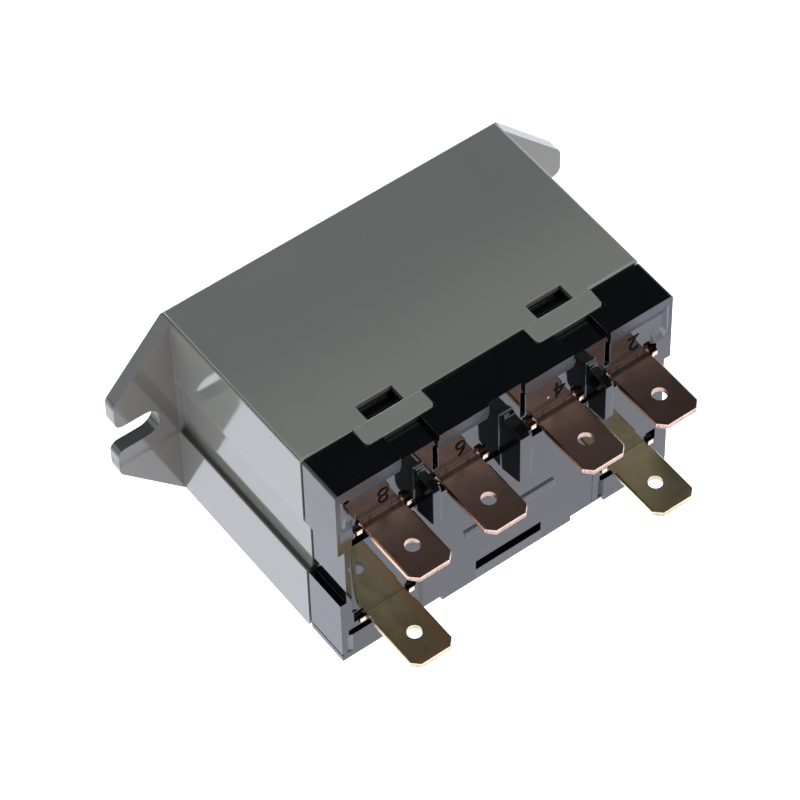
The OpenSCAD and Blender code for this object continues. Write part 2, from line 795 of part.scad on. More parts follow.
// Bridge with its two rivet holes, for the side given by s
module bridge(s) {
    lo = load_x_inner - bridge_end;
    hi = load_x_outer + bridge_end;
    w = bridge_w / 2;
    color("#b87346") difference() {
        plate(bridge_low, bridge_t) polygon(rounded([
            [s * lo, -(contact_d - w)],
            [s * hi, -(contact_d - w)],
            [s * hi, -(contact_d + w)],
            [s * lo, -(contact_d + w)]
        ], [1, 1, 1, 1] * bridge_corner));
        for (x = [load_x_inner, load_x_outer])
            upright(s * x, contact_d, bridge_low - 1, bridge_t + 2, shank_r);
    }
}

// Contact rivets of one bridge, heads down
module moving_contacts(s) {
    color("#d8d9da") for (x = [load_x_inner, load_x_outer]) {
        upright(s * x, contact_d, moving_low, contact_h, moving_r);
        upright(s * x, contact_d, moving_low, contact_h + bridge_t, shank_r);
    }
}

module contact_spring(s) {
    low = bridge_high + contact_wire_r + rest_gap;
    high = roof_low - contact_wire_r - spring_seat;
    color("#c9cccd") translate([s * bridge_x, mount_y - contact_d, 0])
        wire(helix(contact_coil_r, low, high, contact_turns), contact_wire_r);
}

module return_spring() {
    low = load_low + return_wire_r + spring_seat;
    high = roof_low - return_wire_r - rest_gap;
    color("#c9cccd") translate([0, mount_y - contact_d, 0])
        wire(helix(return_coil_r, low, high, return_turns), return_wire_r);
}

// Right half of a terminal plate's outline, with its rear end at the depth given
function terminal_half(back) = [
    [inner_w / 2, -back],
    [inner_w / 2, -(inner_face - 1)],
    [lug_out, -(inner_face - 1)],
    [lug_out, -(front_depth + lug_reach)],
    [lug_in, -(front_depth + lug_reach)],
    [lug_in, -(front_depth - stake_slot)],
    [neck_w / 2, -(front_depth - stake_slot)],
    [neck_w / 2, -(blade_tip - blade_full_l)],
    [blade_w / 2, -(blade_tip - blade_full_l)],
    [blade_w / 2, -(blade_tip - blade_chamfer)],
    [blade_w / 2 - blade_chamfer, -blade_tip]
];

module load_terminal(x) {
    color("#6d4236") translate([x, 0, 0]) difference() {
        plate(load_low, blade_t) polygon(mirrored(terminal_half(plate_back)));
        upright(0, blade_tip - blade_hole_back, load_low - 1, blade_t + 2, blade_hole_r);
        upright(0, contact_d, load_low - 1, blade_t + 2, shank_r);
    }
}

module fixed_contacts() {
    color("#d8d9da") for (x = load_x) {
        upright(x, contact_d, load_high, contact_h, contact_r);
        upright(x, contact_d, load_low, blade_t + contact_h, shank_r);
    }
}

module coil_terminal(s) {
    color("#8d8455") translate([s * coil_x, 0, 0]) difference() {
        plate(coil_low, blade_t) polygon(mirrored(terminal_half(coil_plate_back)));
        upright(0, blade_tip - blade_hole_back, coil_low - 1, blade_t + 2, blade_hole_r);
    }
}

// Lead from the bobbin's post to the rear edge of a coil terminal
module coil_lead(s) {
    from = [s * post_x, mount_y - bobbin_front - post_l - solder_gap, yoke_floor + lead_rise];
    to = [s * (coil_x - lead_in), mount_y - coil_plate_back + solder_gap, coil_z];
    color("#a5532a") wire(bezier([from, from - [0, 3, 0], to + [0, 4, 0], to], 18), lead_r);
}

cover();
base();
yoke();
core();
bobbin();
winding();
armature();
hinge_spring();
card();
return_spring();
bridge(-1);  // bridge_left
bridge(1);  // bridge_right
moving_contacts(-1);  // moving_contacts_left
moving_contacts(1);  // moving_contacts_right
contact_spring(-1);  // contact_spring_left
contact_spring(1);  // contact_spring_right
load_terminal(-load_x_outer);  // load_terminal_left_outer
load_terminal(-load_x_inner);  // load_terminal_left_inner
load_terminal(load_x_inner);  // load_terminal_right_inner
load_terminal(load_x_outer);  // load_terminal_right_outer
fixed_contacts();
coil_terminal(-1);  // coil_terminal_left
coil_terminal(1);  // coil_terminal_right
coil_lead(-1);  // coil_lead_left
coil_lead(1);  // coil_lead_right
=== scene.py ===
import json
import math

import bmesh
import bpy
from mathutils import Matrix, Quaternion, Vector

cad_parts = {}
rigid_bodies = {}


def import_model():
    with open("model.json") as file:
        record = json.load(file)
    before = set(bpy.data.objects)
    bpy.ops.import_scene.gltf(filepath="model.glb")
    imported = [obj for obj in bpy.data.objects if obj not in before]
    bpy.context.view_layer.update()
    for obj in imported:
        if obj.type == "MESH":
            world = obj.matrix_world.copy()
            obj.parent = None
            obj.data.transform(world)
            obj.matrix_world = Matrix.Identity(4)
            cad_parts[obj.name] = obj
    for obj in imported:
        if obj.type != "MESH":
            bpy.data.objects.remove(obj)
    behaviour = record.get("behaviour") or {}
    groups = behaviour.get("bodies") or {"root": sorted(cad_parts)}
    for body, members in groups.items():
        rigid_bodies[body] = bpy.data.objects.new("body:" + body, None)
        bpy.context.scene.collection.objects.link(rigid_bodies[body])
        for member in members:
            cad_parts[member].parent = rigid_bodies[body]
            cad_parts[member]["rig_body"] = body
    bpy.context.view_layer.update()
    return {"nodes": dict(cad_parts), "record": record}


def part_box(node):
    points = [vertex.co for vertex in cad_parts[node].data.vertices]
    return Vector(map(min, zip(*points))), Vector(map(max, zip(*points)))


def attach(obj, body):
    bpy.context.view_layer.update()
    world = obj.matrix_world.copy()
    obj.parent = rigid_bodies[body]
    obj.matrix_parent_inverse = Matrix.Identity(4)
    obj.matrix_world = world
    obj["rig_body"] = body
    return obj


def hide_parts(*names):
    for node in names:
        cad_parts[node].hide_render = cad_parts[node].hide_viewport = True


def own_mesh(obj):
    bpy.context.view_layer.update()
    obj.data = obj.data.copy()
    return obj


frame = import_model()

MM = 0.001

# Camera: the photograph's angle, distance and lens
AIM = Vector((-2.94, 5.19, 16.5)) * MM
DISTANCE = 505.4 * MM
AZIMUTH = -35.318
ELEVATION = 51.697
ROLL = -1.686
LENS = 185.47
SENSOR = 36

# The area lights' distance from what the camera aims at, in metres
LIGHT_DISTANCE = 0.9

# Places in millimetres. BACK is the mounting face's y, and depths are counted forward from it.
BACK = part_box("cover")[1].y / MM
HALF_WIDTH = 25.15
TOP = 33.0
COVER_END = 28.45
FACE = 35.3
BAY_FACE = 34.9
BAY_END_X = 23.95
BAY_TOP = 31.6
WAIST_X, WAIST_LOW, WAIST_TOP = 24.22, 11.45, 21.4
LOOP_CORNERS = (7.62, 17.62)
LOOP_END = 31.35
WINDOW_X, WINDOW_D = 12.62, 27.05
SHELL_START = 28

# The middles of the load and coil blades, and what is measured from a blade's middle
LOAD_X, LOAD_Z = (7.28, 18.51), 24.55
COIL_X, COIL_Z = 18.55, 7.0
BLADE_HALF = 3.15
LUG_MIDDLE = 3.62
LUG_ROOT = 35.2
LUG_TAPER = 0.3
NOTCH_WALL = 4.65

# Details of the base's front. Each box runs between two corners given as x to either side, depth and height.
BAY_END_EDGES = ((23, FACE, 25.9), (BAY_END_X, FACE, BAY_TOP))
BAY_END_FEET = ((22.5, BAY_FACE, 22), (BAY_END_X, BAY_FACE, BAY_TOP))
BAY_END_WALLS = ((22, BAY_FACE, 22.3), (24.4, FACE - 0.01, BAY_TOP))
HAIRLINE_GROOVE = ((13.15, FACE - 2, 0), (13.45, FACE - 0.02, 10))
NOTCHES = ((0, BAY_FACE - 0.1, 23.9), (24, FACE, 25.7))
RIGHT_GROOVE = ((14.25, FACE - 1, 1.2), (15.2, FACE - 0.02, 4.7))
LEFT_GROOVE = ((23.45, FACE - 1, 1.1), (24.4, FACE - 0.02, 4.5))

# Edges that turn further than this, in degrees, are left sharp in the shading
SHARP_ANGLE = 28

# Material slots of the base piece, after its own black
BARRIER, SLOPE, BAY_END = 1, 2, 3


class Value:
    """A socket of a node tree, for use in Python expressions."""

    def __init__(self, shader, socket):
        self.shader = shader
        self.socket = socket

    def maths(self, operation, *values, **settings):
        inputs = dict(enumerate(values))
        return self.shader.add("Math", {"operation": operation, **settings}, inputs)

    def __add__(self, other):
        return self.maths("ADD", self, other)

    def __radd__(self, other):
        return self.maths("ADD", other, self)

    def __sub__(self, other):
        return self.maths("SUBTRACT", self, other)

    def __rsub__(self, other):
        return self.maths("SUBTRACT", other, self)

    def __mul__(self, other):
        return self.maths("MULTIPLY", self, other)

    def __rmul__(self, other):
        return self.maths("MULTIPLY", other, self)

    def __pow__(self, other):
        return self.maths("POWER", self, other)

    def __abs__(self):
        return self.maths("ABSOLUTE", self)

    def clamped(self):
        return self.maths("ADD", self, 0, use_clamp=True)

    def above(self, limit):
        return self.maths("GREATER_THAN", self, limit)

    def below(self, limit):
        return self.maths("LESS_THAN", self, limit)

    def smooth(self, start, end):
        """0 before start, 1 after end, and a smooth step between them"""
        inputs = {"Value": self, "From Min": start, "From Max": end}
        return self.shader.add("MapRange", {"interpolation_type": "SMOOTHSTEP"}, inputs)

    def near(self, middle, reach):
        """1 at the middle, falling smoothly to 0 at that reach to either side"""
        return 1 - abs(self - middle).smooth(0, reach)


class Shader:
    """A material and its principled shader, with the nodes that feed it."""

    def __init__(self, name, **constants):
        self.material = bpy.data.materials.new(name)
        self.material.use_nodes = True
        self.tree = self.material.node_tree
        self.principled = self.tree.nodes["Principled BSDF"]
        for socket, value in constants.items():
            self.principled.inputs[socket.replace("_", " ")].default_value = value

    def add(self, kind, settings=None, inputs=None, output=0):
        """A node of that kind. Its settings are made before its sockets get their values or links."""
        node = self.tree.nodes.new("ShaderNode" + kind)
        for setting, value in (settings or {}).items():
            setattr(node, setting, value)
        for socket, value in (inputs or {}).items():
            self.feed(node.inputs[socket], value)
        return Value(self, node.outputs[output])

    def feed(self, socket, value):
        if isinstance(value, Value):
            self.tree.links.new(value.socket, socket)
        elif isinstance(value, tuple) and len(value) == 3 and len(socket.default_value) == 4:
            socket.default_value = (*value, 1)
        else:
            socket.default_value = value

    def set(self, socket, value):
        self.feed(self.principled.inputs[socket], value)

    def split(self, vector):
        """The three parts of a vector"""
        node = self.add("SeparateXYZ", inputs={0: vector}).socket.node
        return [Value(self, node.outputs[i]) for i in range(3)]

    def place(self):
        """The point on the piece, in metres"""
        return self.add("TexCoord", output="Object")

    def axes(self):
        """The point's x, its depth from the mounting face and its height, in millimetres"""
        x, y, z = [part * 1000 for part in self.split(self.place())]
        return x, BACK - y, z

    def facing(self):
        """The true normal's x, y and z"""
        return self.split(self.add("NewGeometry", output="True Normal"))

    def noise(self, size, detail=2, roughness=0.5, stretch=(1, 1, 1), offset=(0, 0, 0), distortion=0):
        """Noise from 0 to 1, with features of that size in millimetres"""
        scale = tuple(s / (size * MM) for s in stretch)
        point = self.add("Mapping", inputs={"Vector": self.place(), "Scale": scale, "Location": offset})
        inputs = {
            "Vector": point,
            "Scale": 1,
            "Detail": detail,
            "Roughness": roughness,
            "Distortion": distortion,
        }
        return self.add("TexNoise", inputs=inputs)

    def rim(self):
        """The share of worn edge and painted edge highlight that a face was given when it was rounded off"""
        return self.add("Attribute", {"attribute_name": "rim"}, output="Fac")

    def mix(self, amount, one, other):
        """Colour one where amount is 0, and the other where it is 1"""
        inputs = {"Factor": amount, 6: one, 7: other}
        return self.add("Mix", {"data_type": "RGBA"}, inputs, output=2)

    def bump(self, height, depth):
        """Bump from a height of 0 to 1 that stands for a depth in millimetres"""
        inputs = {"Height": height, "Distance": depth * MM}
        self.set("Normal", self.add("Bump", inputs=inputs))


# Materials


def cover_plastic():
    """Grey moulding: satin on the two broad faces, polished and browner on the sides and the ears"""
    shader = Shader("cover_grey", IOR=1.5)
    x, d, z = shader.axes()
    facing = shader.facing()
    from_window = abs(abs(x) - WINDOW_X)
    broad = abs(facing[2]).above(0.97) * abs(z - TOP / 2).above(TOP / 2 - 0.06)
    ear = abs(x).above(HALF_WIDTH + 0.1)
    rim = shader.rim()
    painted_edge_dark = rim.above(0.5) * abs(facing[0] * facing[2]).above(0.4)
    flow = shader.noise(14, detail=3, stretch=(1, 0.5, 1), distortion=0.6)
    cloud = shader.noise(5, detail=4)
    grain = shader.noise(0.35, detail=2)
    speck = shader.noise(0.8, detail=1).smooth(0.8, 0.83)
    scratch = shader.noise(1.3, detail=2, stretch=(0.12, 1.4, 1), offset=(3.1, 0.7, 0)).smooth(0.79, 0.83)
    tone = shader.mix(flow, (0.178, 0.186, 0.183), (0.2, 0.209, 0.204))
    tone = shader.mix(d.smooth(8, COVER_END) * 0.8, tone, (0.275, 0.287, 0.271))
    tone = shader.mix(cloud * 0.35, tone, (0.186, 0.192, 0.180))
    tone = shader.mix(1 - broad, tone, (0.205, 0.206, 0.18))
    tone = shader.mix(ear, tone, (0.165, 0.155, 0.13))
    # Painted shade on the ears' upward faces
    tone = shader.mix(ear * facing[2].above(0.3), tone, (0.1, 0.103, 0.105))
    # Rounded edges are lighter: partly worn edge, partly painted edge highlight
    tone = shader.mix(rim * (0.75 + 0.5 * cloud), tone, (0.46, 0.46, 0.43))
    # Painted dark reflection along the middle of the rounded edges between the sides and the broad faces
    tone = shader.mix(painted_edge_dark * 0.9, tone, (0.04, 0.04, 0.036))
    # Painted shade in the hollow at the foot of the waist on the narrow sides
    foot = z.above(WAIST_LOW - 0.1) * (1 - z.smooth(WAIST_LOW + 0.1, WAIST_LOW + 1.4))
    painted_foot_shade = abs(x).above(24.1) * foot
    tone = shader.mix(painted_foot_shade * 0.33, tone, (0.05, 0.049, 0.04))
    # The end wall in the seam is in the shade
    seam_wall = facing[1].below(-0.9) * (d - COVER_END + 0.2).above(0) * abs(x).below(24.6)
    shaded = seam_wall * z.above(TOP - 4) * z.below(TOP - 0.2)
    tone = shader.mix(shaded * 0.9, tone, (0.02, 0.02, 0.02))
    # So are the walls of the windows, from a little below their edge
    window = from_window.below(3) * abs(d - WINDOW_D).below(1.35) * (1 - broad)
    depth = TOP / 2 - abs(z - TOP / 2)
    tone = shader.mix(window * depth.smooth(0.55, 1.0) * 0.95, tone, (0.004, 0.004, 0.004))
    tone = shader.mix(speck * 0.6, tone, (0.06, 0.058, 0.05))
    # Parting line along the narrow sides, where the two drafts meet: a bumped ridge with a painted highlight
    # along it
    side = abs(abs(x) - HALF_WIDTH + 0.1).below(0.2) * d.above(1.8)
    line = side * z.near(WAIST_TOP - 0.05, 0.2) * (0.5 + cloud)
    tone = shader.mix(line * 0.8, tone, (0.5, 0.49, 0.42))
    shader.set("Base Color", tone)
    satin = 0.42 + 0.07 * cloud - 0.08 * scratch
    polished = 0.06 + 0.06 * cloud
    shader.set("Roughness", broad * satin + (1 - broad) * polished + 0.25 * painted_foot_shade)
    seam = broad * from_window.below(5) * d.near(COVER_END, 0.1)
    texture = broad * grain * 0.5 + flow * 0.5 - speck * 0.6
    shader.bump(texture + line * 2 - seam * 3 - scratch * broad * 0.4, 0.012)
    return shader.material


def black_moulding(name, shine, **constants):
    """Glossy black moulding with a faint unevenness and small round marks over the load plates"""
    shader = Shader(name, IOR=1.475, **constants)
    x, d, z = shader.axes()
    facing = shader.facing()
    to_front = facing[1].below(-0.9)
    sink = shader.noise(6, detail=2, distortion=0.4)
    cloud = shader.noise(3, detail=4)
    smear = shader.noise(1.6, detail=5, roughness=0.65)
    dust = shader.noise(0.45, detail=1).smooth(0.78, 0.84)
    tone = shader.mix(cloud, (0.002, 0.0024, 0.0036), (0.0036, 0.0042, 0.006))
    tone = shader.mix(dust * 0.5, tone, (0.05, 0.05, 0.052))
    rim = shader.rim()
    painted_edge_dark = rim.above(0.5) * abs(facing[0] * facing[2]).above(0.4)
    # Rounded edges are lighter: partly worn edge, partly painted edge highlight
    tone = shader.mix(rim * (0.7 + 0.6 * cloud), tone, (0.13, 0.135, 0.15))
    # Painted highlight line on the face along each end of the bay, stronger on the right
    end = abs(x).near(24.37, 0.12) * z.above(26.9) * z.below(31.4) * to_front * d.above(FACE - 0.05)
    tone = shader.mix(end * (0.3 + 0.7 * x.above(0)), tone, (0.4, 0.42, 0.46))
    # Painted dark reflection along the middle of the rounded edges between the sides and the top
    tone = shader.mix(painted_edge_dark, tone, (0.004, 0.005, 0.009))
    # The sill under the bottom slot is duller
    sill = to_front * z.below(2) * x.above(-4.9) * x.below(5.4)
    tone = shader.mix(sill * 0.5, tone, (0.045, 0.05, 0.045))
    # Painted glint of a small dent over the inner load terminal on the right
    painted_glint_distance = ((x - 6.48) ** 2 + (z - 27.07) ** 2) ** 0.5
    tone = shader.mix(painted_glint_distance.below(0.19) * to_front, tone, (0.75, 0.68, 0.58))
    # The frame round the bay is finely textured
    frame_grain = shader.noise(0.22, detail=2)
    framed = to_front * d.above(BAY_FACE + 0.2) * d.below(FACE + 0.2)
    framed = framed * (z.above(31.3) + z.above(25.5) * abs(x).above(22.7)).clamped()
    tone = shader.mix(framed * frame_grain, tone, (0.034, 0.032, 0.037))
    shader.set("Base Color", tone)
    worn = 0.2 * dust + 0.3 * rim * (1 - painted_edge_dark)
    shader.set("Roughness", shine + 0.05 * smear + worn + 0.36 * framed + 0.2 * sill)
    along = off_centre(x, *LOAD_X) - 2.1
    ring = (along * along + (z - LOAD_Z - 0.4) ** 2) ** 0.5
    mark = ring.near(0.62, 0.14) * abs(d - BAY_FACE).below(0.05)
    shader.bump(sink * 0.02 - mark * 0.06 + (framed + sill) * frame_grain * 0.035, 1)
    return shader.material


def base_plastic():
    return black_moulding("base_black", 0.03)


def barrier_plastic():
    """The barriers' drafted sides, which are duller"""
    return black_moulding("barrier_black", 0.2, Specular_IOR_Level=0.05)


def textured_plastic(name, dark, light):
    """Dull, finely textured plastic in a given tone, for the slopes round the bay's face, the bay's end
    walls and two grooves: painted shade on the slopes and the right groove, painted light on the end walls
    and the left groove
    """
    shader = Shader(name, IOR=1.52, Specular_IOR_Level=0.06)
    cloud = shader.noise(2.5, detail=4)
    grain = shader.noise(0.22, detail=2)
    shader.set("Base Color", shader.mix(cloud, dark, light))
    shader.set("Roughness", 0.35 + 0.2 * grain)
    shader.bump(grain, 0.02)
    return shader.material


def off_centre(x, near, far=None):
    """How far a point lies from the middle of its blade, for blades at plus and minus near and far"""
    x = abs(x)
    if far:
        x = abs(x - (near + far) / 2)
        near = (far - near) / 2
    return abs(x - near)


def sheet_metal(name, centres, middle_z, face, dark, edge, stain, bright, glow, step=0.0, tarnish=0.0):
    """Rolled sheet: dull faces with fine rolling lines and stains, bright sheared edges that are partly
    painted highlight, and dimpled lugs with painted highlight and painted shade
    """
    shader = Shader(name, Metallic=1.0)
    x, d, z = shader.axes()
    across = off_centre(x, *centres)
    facing_up = shader.facing()[2]
    flat = abs(facing_up).above(0.6)
    rolling = shader.noise(0.25, detail=4, stretch=(1, 0.04, 1))
    cloud = shader.noise(2.6, detail=4, distortion=0.8)
    smear = shader.noise(3.2, detail=3, stretch=(1, 0.6, 1), offset=(1.3, 0.4, 0), distortion=1.2)
    warm = shader.noise(4.5, detail=2, offset=(0.2, 5.1, 0), distortion=0.5)
    burr = shader.noise(0.4, detail=3)
    shear = shader.noise(0.5, detail=2, stretch=(1, 1, 0.2))
    inner = abs(x) - (sum(centres) / len(centres))
    tip = d.smooth(42.5, 45.4) * 0.5 + across.smooth(2.2, 3.2) * 0.35
    tone = shader.mix(cloud.smooth(0.3, 0.75), face, dark)
    tone = shader.mix(rolling.smooth(0.5, 0.8) * 0.15, tone, stain)
    tone = shader.mix(smear.smooth(0.5, 0.72) * 0.25, tone, stain)
    tone = shader.mix(warm.smooth(0.45, 0.7) * 0.35, tone, edge)
    tone = shader.mix(tip * cloud, tone, stain)
    # Tarnish along the side towards the middle of the housing and along the tip
    tarnished = shader.mix(x.above(0), (0.74, 0.46, 0.26), (0.62, 0.5, 0.28))
    band = (inner.near(-2.4, 1.3) + d.smooth(44.3, 45) * across.below(3.2)).clamped()
    tone = shader.mix(band * cloud.smooth(0.2, 0.55) * tarnish, tone, tarnished)
    # The undersides get painted shade, and so does the right-hand load plate
    tone = shader.mix(facing_up.below(-0.6) * 0.4, tone, (0.05, 0.04, 0.03))
    tone = shader.mix(x.above(14) * z.above(LOAD_Z - 1) * 0.3, tone, (0.02, 0.015, 0.013))
    # Sheared edges have a burnished upper band and a duller torn one
    torn = 1 - (z - middle_z).smooth(-0.08, 0.06)
    sheared = shader.mix(shear.smooth(0.35, 0.75) * 0.4 + torn * 0.3 + 0.15, edge, stain)
    tone = shader.mix(flat, sheared, tone)
    # Rounded sheared edges are brighter: partly burnished edge, partly painted edge highlight
    tone = shader.mix(shader.rim() * (0.5 + 0.5 * burr), tone, bright)
    # Painted light on the lugs: painted shade at the sides, a painted highlight in front with a warm painted
    # highlight round it, and painted shade in the dimple
    lug = across.smooth(3.1, 3.2) * d.smooth(LUG_ROOT, FACE)
    centre = ((across - LUG_MIDDLE) ** 2 + (z - middle_z) ** 2) ** 0.5
    front = d.above(35.8) * lug
    dimple = (1 - centre.smooth(0.04, 0.14)) * front
    tone = shader.mix(lug * (1 - front), tone, (0.04, 0.02, 0.012))
    tone = shader.mix(front * 0.9, tone, bright)
    tone = shader.mix(front * centre.smooth(0.28, 0.42) * 0.8, tone, glow)
    tone = shader.mix(dimple * 0.8, tone, (0.1, 0.06, 0.04))
    shader.set("Base Color", tone)
    shader.set("Roughness", flat * (0.26 + 0.14 * cloud) + (1 - flat) * (0.28 + 0.14 * burr))
    joggle = d.smooth(35.1, 36.1) * (1 - across.smooth(2.95, 3)) * step
    shader.bump(rolling * 0.006 + burr * (1 - flat) * 0.015 + joggle - dimple * 0.05, 1)
    return shader.material


def load_copper():
    return sheet_metal(
        "load_copper",
        LOAD_X,
        LOAD_Z,
        face=(0.54, 0.345, 0.28),
        dark=(0.45, 0.275, 0.225),
        edge=(0.53, 0.37, 0.31),
        stain=(0.27, 0.15, 0.11),
        bright=(0.95, 0.78, 0.66),
        glow=(0.9, 0.36, 0.14),
        step=0.16,
    )


def coil_brass():
    return sheet_metal(
        "coil_brass",
        (COIL_X,),
        COIL_Z,
        face=(0.62, 0.56, 0.34),
        dark=(0.52, 0.455, 0.265),
        edge=(0.58, 0.52, 0.34),
        stain=(0.36, 0.24, 0.12),
        bright=(0.88, 0.86, 0.72),
        glow=(0.8, 0.66, 0.34),
        tarnish=0.75,
    )


def number_black():
    """The black ridges of the moulded terminal numbers"""
    shader = Shader("number_black", Roughness=0.35, Specular_IOR_Level=0.05)
    cloud = shader.noise(0.3, detail=2)
    shader.set("Base Color", shader.mix(cloud, (0.002, 0.0022, 0.003), (0.008, 0.008, 0.01)))
    shader.bump(cloud, 0.01)
    return shader.material


def plated_steel():
    """Zinc-plated soft iron with a faint spangle"""
    shader = Shader("plated_steel", Metallic=1.0)
    spangle = shader.noise(1.2, detail=3, distortion=1)
    lines = shader.noise(0.2, detail=3, stretch=(1, 0.05, 1))
    shader.set("Base Color", shader.mix(spangle, (0.48, 0.5, 0.52), (0.66, 0.67, 0.66)))
    shader.set("Roughness", 0.28 + 0.16 * spangle)
    shader.bump(lines, 0.006)
    return shader.material


def bobbin_plastic():
    """Natural, slightly waxy moulding"""
    shader = Shader("bobbin_natural", IOR=1.5)
    cloud = shader.noise(3, detail=4)
    grain = shader.noise(0.25)
    shader.set("Base Color", shader.mix(cloud, (0.72, 0.66, 0.52), (0.8, 0.75, 0.62)))
    shader.set("Roughness", 0.36 + 0.1 * cloud)
    shader.bump(grain, 0.008)
    return shader.material


def coil_copper():
    """Enamelled wire, coated clear and wound in even layers"""
    shader = Shader("enamelled_wire", Metallic=0.9)
    cloud = shader.noise(1.1, detail=3)
    wire = 0.28
    turn = (shader.axes()[2] + 0.06 * cloud) * (2 * math.pi / wire)
    shader.bump(turn.maths("SINE", turn) * 0.5 + 0.5, 0.05)
    shader.set("Base Color", shader.mix(cloud, (0.48, 0.14, 0.05), (0.66, 0.24, 0.09)))
    shader.set("Roughness", 0.2 + 0.12 * cloud)
    shader.set("Coat Weight", 0.6 + 0.3 * cloud)
    return shader.material


def spring_steel():
    """Bright drawn wire and strip"""
    shader = Shader("spring_steel", Metallic=1.0)
    draw = shader.noise(0.12, detail=3, stretch=(1, 1, 0.1))
    shader.set("Base Color", shader.mix(draw, (0.5, 0.5, 0.5), (0.66, 0.66, 0.65)))
    shader.set("Roughness", 0.2 + 0.15 * draw)
    return shader.material


def bridge_copper():
    """Bare copper strip, a little tarnished"""
    shader = Shader("bridge_copper", Metallic=1.0)
    tarnish = shader.noise(1.8, detail=5, distortion=0.7)
    lines = shader.noise(0.15, detail=3, stretch=(0.05, 1, 1))
    shader.set("Base Color", shader.mix(tarnish.smooth(0.35, 0.7), (0.72, 0.34, 0.2), (0.5, 0.24, 0.15)))
    shader.set("Roughness", 0.26 + 0.18 * tarnish)
    shader.bump(lines, 0.006)
    return shader.material


def contact_silver():
    """Silver alloy rivets, satin with a yellowish film"""
    shader = Shader("contact_silver", Metallic=1.0)
    film = shader.noise(0.7, detail=4)
    shader.set("Base Color", shader.mix(film, (0.76, 0.75, 0.71), (0.66, 0.63, 0.55)))
    shader.set("Roughness", 0.24 + 0.18 * film)
    shader.bump(film, 0.01)
    return shader.material


# One finish for each of the record's material slots
MATERIALS = {
    "cover_plastic": cover_plastic(),
    "base_plastic": base_plastic(),
    "load_copper": load_copper(),
    "coil_brass": coil_brass(),
    "plated_steel": plated_steel(),
    "bobbin_plastic": bobbin_plastic(),
    "coil_copper": coil_copper(),
    "spring_steel": spring_steel(),
    "bridge_copper": bridge_copper(),
    "contact_silver": contact_silver(),
}
SLOTS = {part["node"]: part["material_slot"] for part in frame["record"]["subparts"]}

# Finishes of the numbers and of some faces of the base, with painted shade on the slopes and painted light
# on the bay's end walls
NUMBER_BLACK = number_black()
BARRIER_BLACK = barrier_plastic()
SLOPE_PAINTED_SHADE = textured_plastic("slope_painted_shade", (0.042, 0.049, 0.064), (0.072, 0.08, 0.098))
BAY_END_PAINTED_LIGHT = textured_plastic("bay_end_painted_light", (0.19, 0.195, 0.22), (0.24, 0.245, 0.272))


# Meshes


def merged_copy(node):
    """A CAD node's mesh as a bmesh of whole flat faces"""
    shape = bmesh.new()
    shape.from_mesh(frame["nodes"][node].data)
    shape.faces.layers.float.new("rim")
    bmesh.ops.remove_doubles(shape, verts=shape.verts, dist=0.0005 * MM)
    bmesh.ops.dissolve_limit(
        shape,
        angle_limit=math.radians(0.4),
        use_dissolve_boundaries=False,
        verts=shape.verts,
        edges=shape.edges,
    )
    return shape


def sharp_edges(shape, least=30, test=None):
    """Edges that turn by at least that many degrees, outward or inward, where the test holds"""
    limit = math.radians(least)
    return [
        edge
        for edge in shape.edges
        if len(edge.link_faces) == 2
        and edge.calc_face_angle(0) > limit
        and (test is None or test(edge))
    ]


def round_off(shape, edges, radius, segments=2, rim=0.0):
    """Rounds off edges, and notes how much worn edge and painted edge highlight the new faces get"""
    made = bmesh.ops.bevel(
        shape,
        geom=edges,
        offset=radius * MM,
        offset_type="OFFSET",
        segments=segments,
        profile=0.5,
        affect="EDGES",
        clamp_overlap=True,
        material=-1,
    )
    layer = shape.faces.layers.float["rim"]
    for face in made["faces"]:
        face[layer] = rim


def round_sharp(shape, least, test, radius, segments, rim=0.0):
    """Rounds off the edges that turn by at least that many degrees, where the test holds"""
    round_off(shape, sharp_edges(shape, least, test), radius, segments, rim)


def smooth_shading(shape):
    """Smooth faces, with the edges that turn further than SHARP_ANGLE left sharp"""
    for face in shape.faces:
        face.smooth = True
    limit = math.radians(SHARP_ANGLE)
    for edge in shape.edges:
        edge.smooth = len(edge.link_faces) != 2 or edge.calc_face_angle(0) < limit


def finished(name, shape, slot, body, *nodes):
    """The piece that a bmesh makes. It rides on its body and stands for the CAD nodes."""
    mesh = bpy.data.meshes.new(name)
    smooth_shading(shape)
    shape.to_mesh(mesh)
    shape.free()
    piece = bpy.data.objects.new(name, mesh)
    bpy.context.scene.collection.objects.link(piece)
    mesh.materials.append(MATERIALS[slot])
    weighted = piece.modifiers.new("flat_faces", "WEIGHTED_NORMAL")
    weighted.keep_sharp = True
    weighted.weight = 100
    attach(piece, body)
    if nodes:
        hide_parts(*nodes)
    return piece


def in_place_of(node, shape):
    """The piece that a bmesh makes in place of one CAD node, on that node's body"""
    return finished(node + "_piece", shape, SLOTS[node], frame["nodes"][node]["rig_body"], node)


def inside(box, point):
    """Whether a point lies in the box between two corners given as x to either side, depth and height"""
    slack = 0.01
    place = (abs(point.x) / MM, BACK - point.y / MM, point.z / MM)
    return all(low - slack <= value <= high + slack for low, value, high in zip(box[0], place, box[1]))


def both_inside(*boxes):
    """A test that holds where both ends of an edge lie in one of the boxes"""
    return lambda edge: any(all(inside(box, v.co) for v in edge.verts) for box in boxes)


def softened(node, radius):
    """A CAD node with its edges rounded off"""
    shape = merged_copy(node)
    round_off(shape, sharp_edges(shape), radius)
    in_place_of(node, shape)


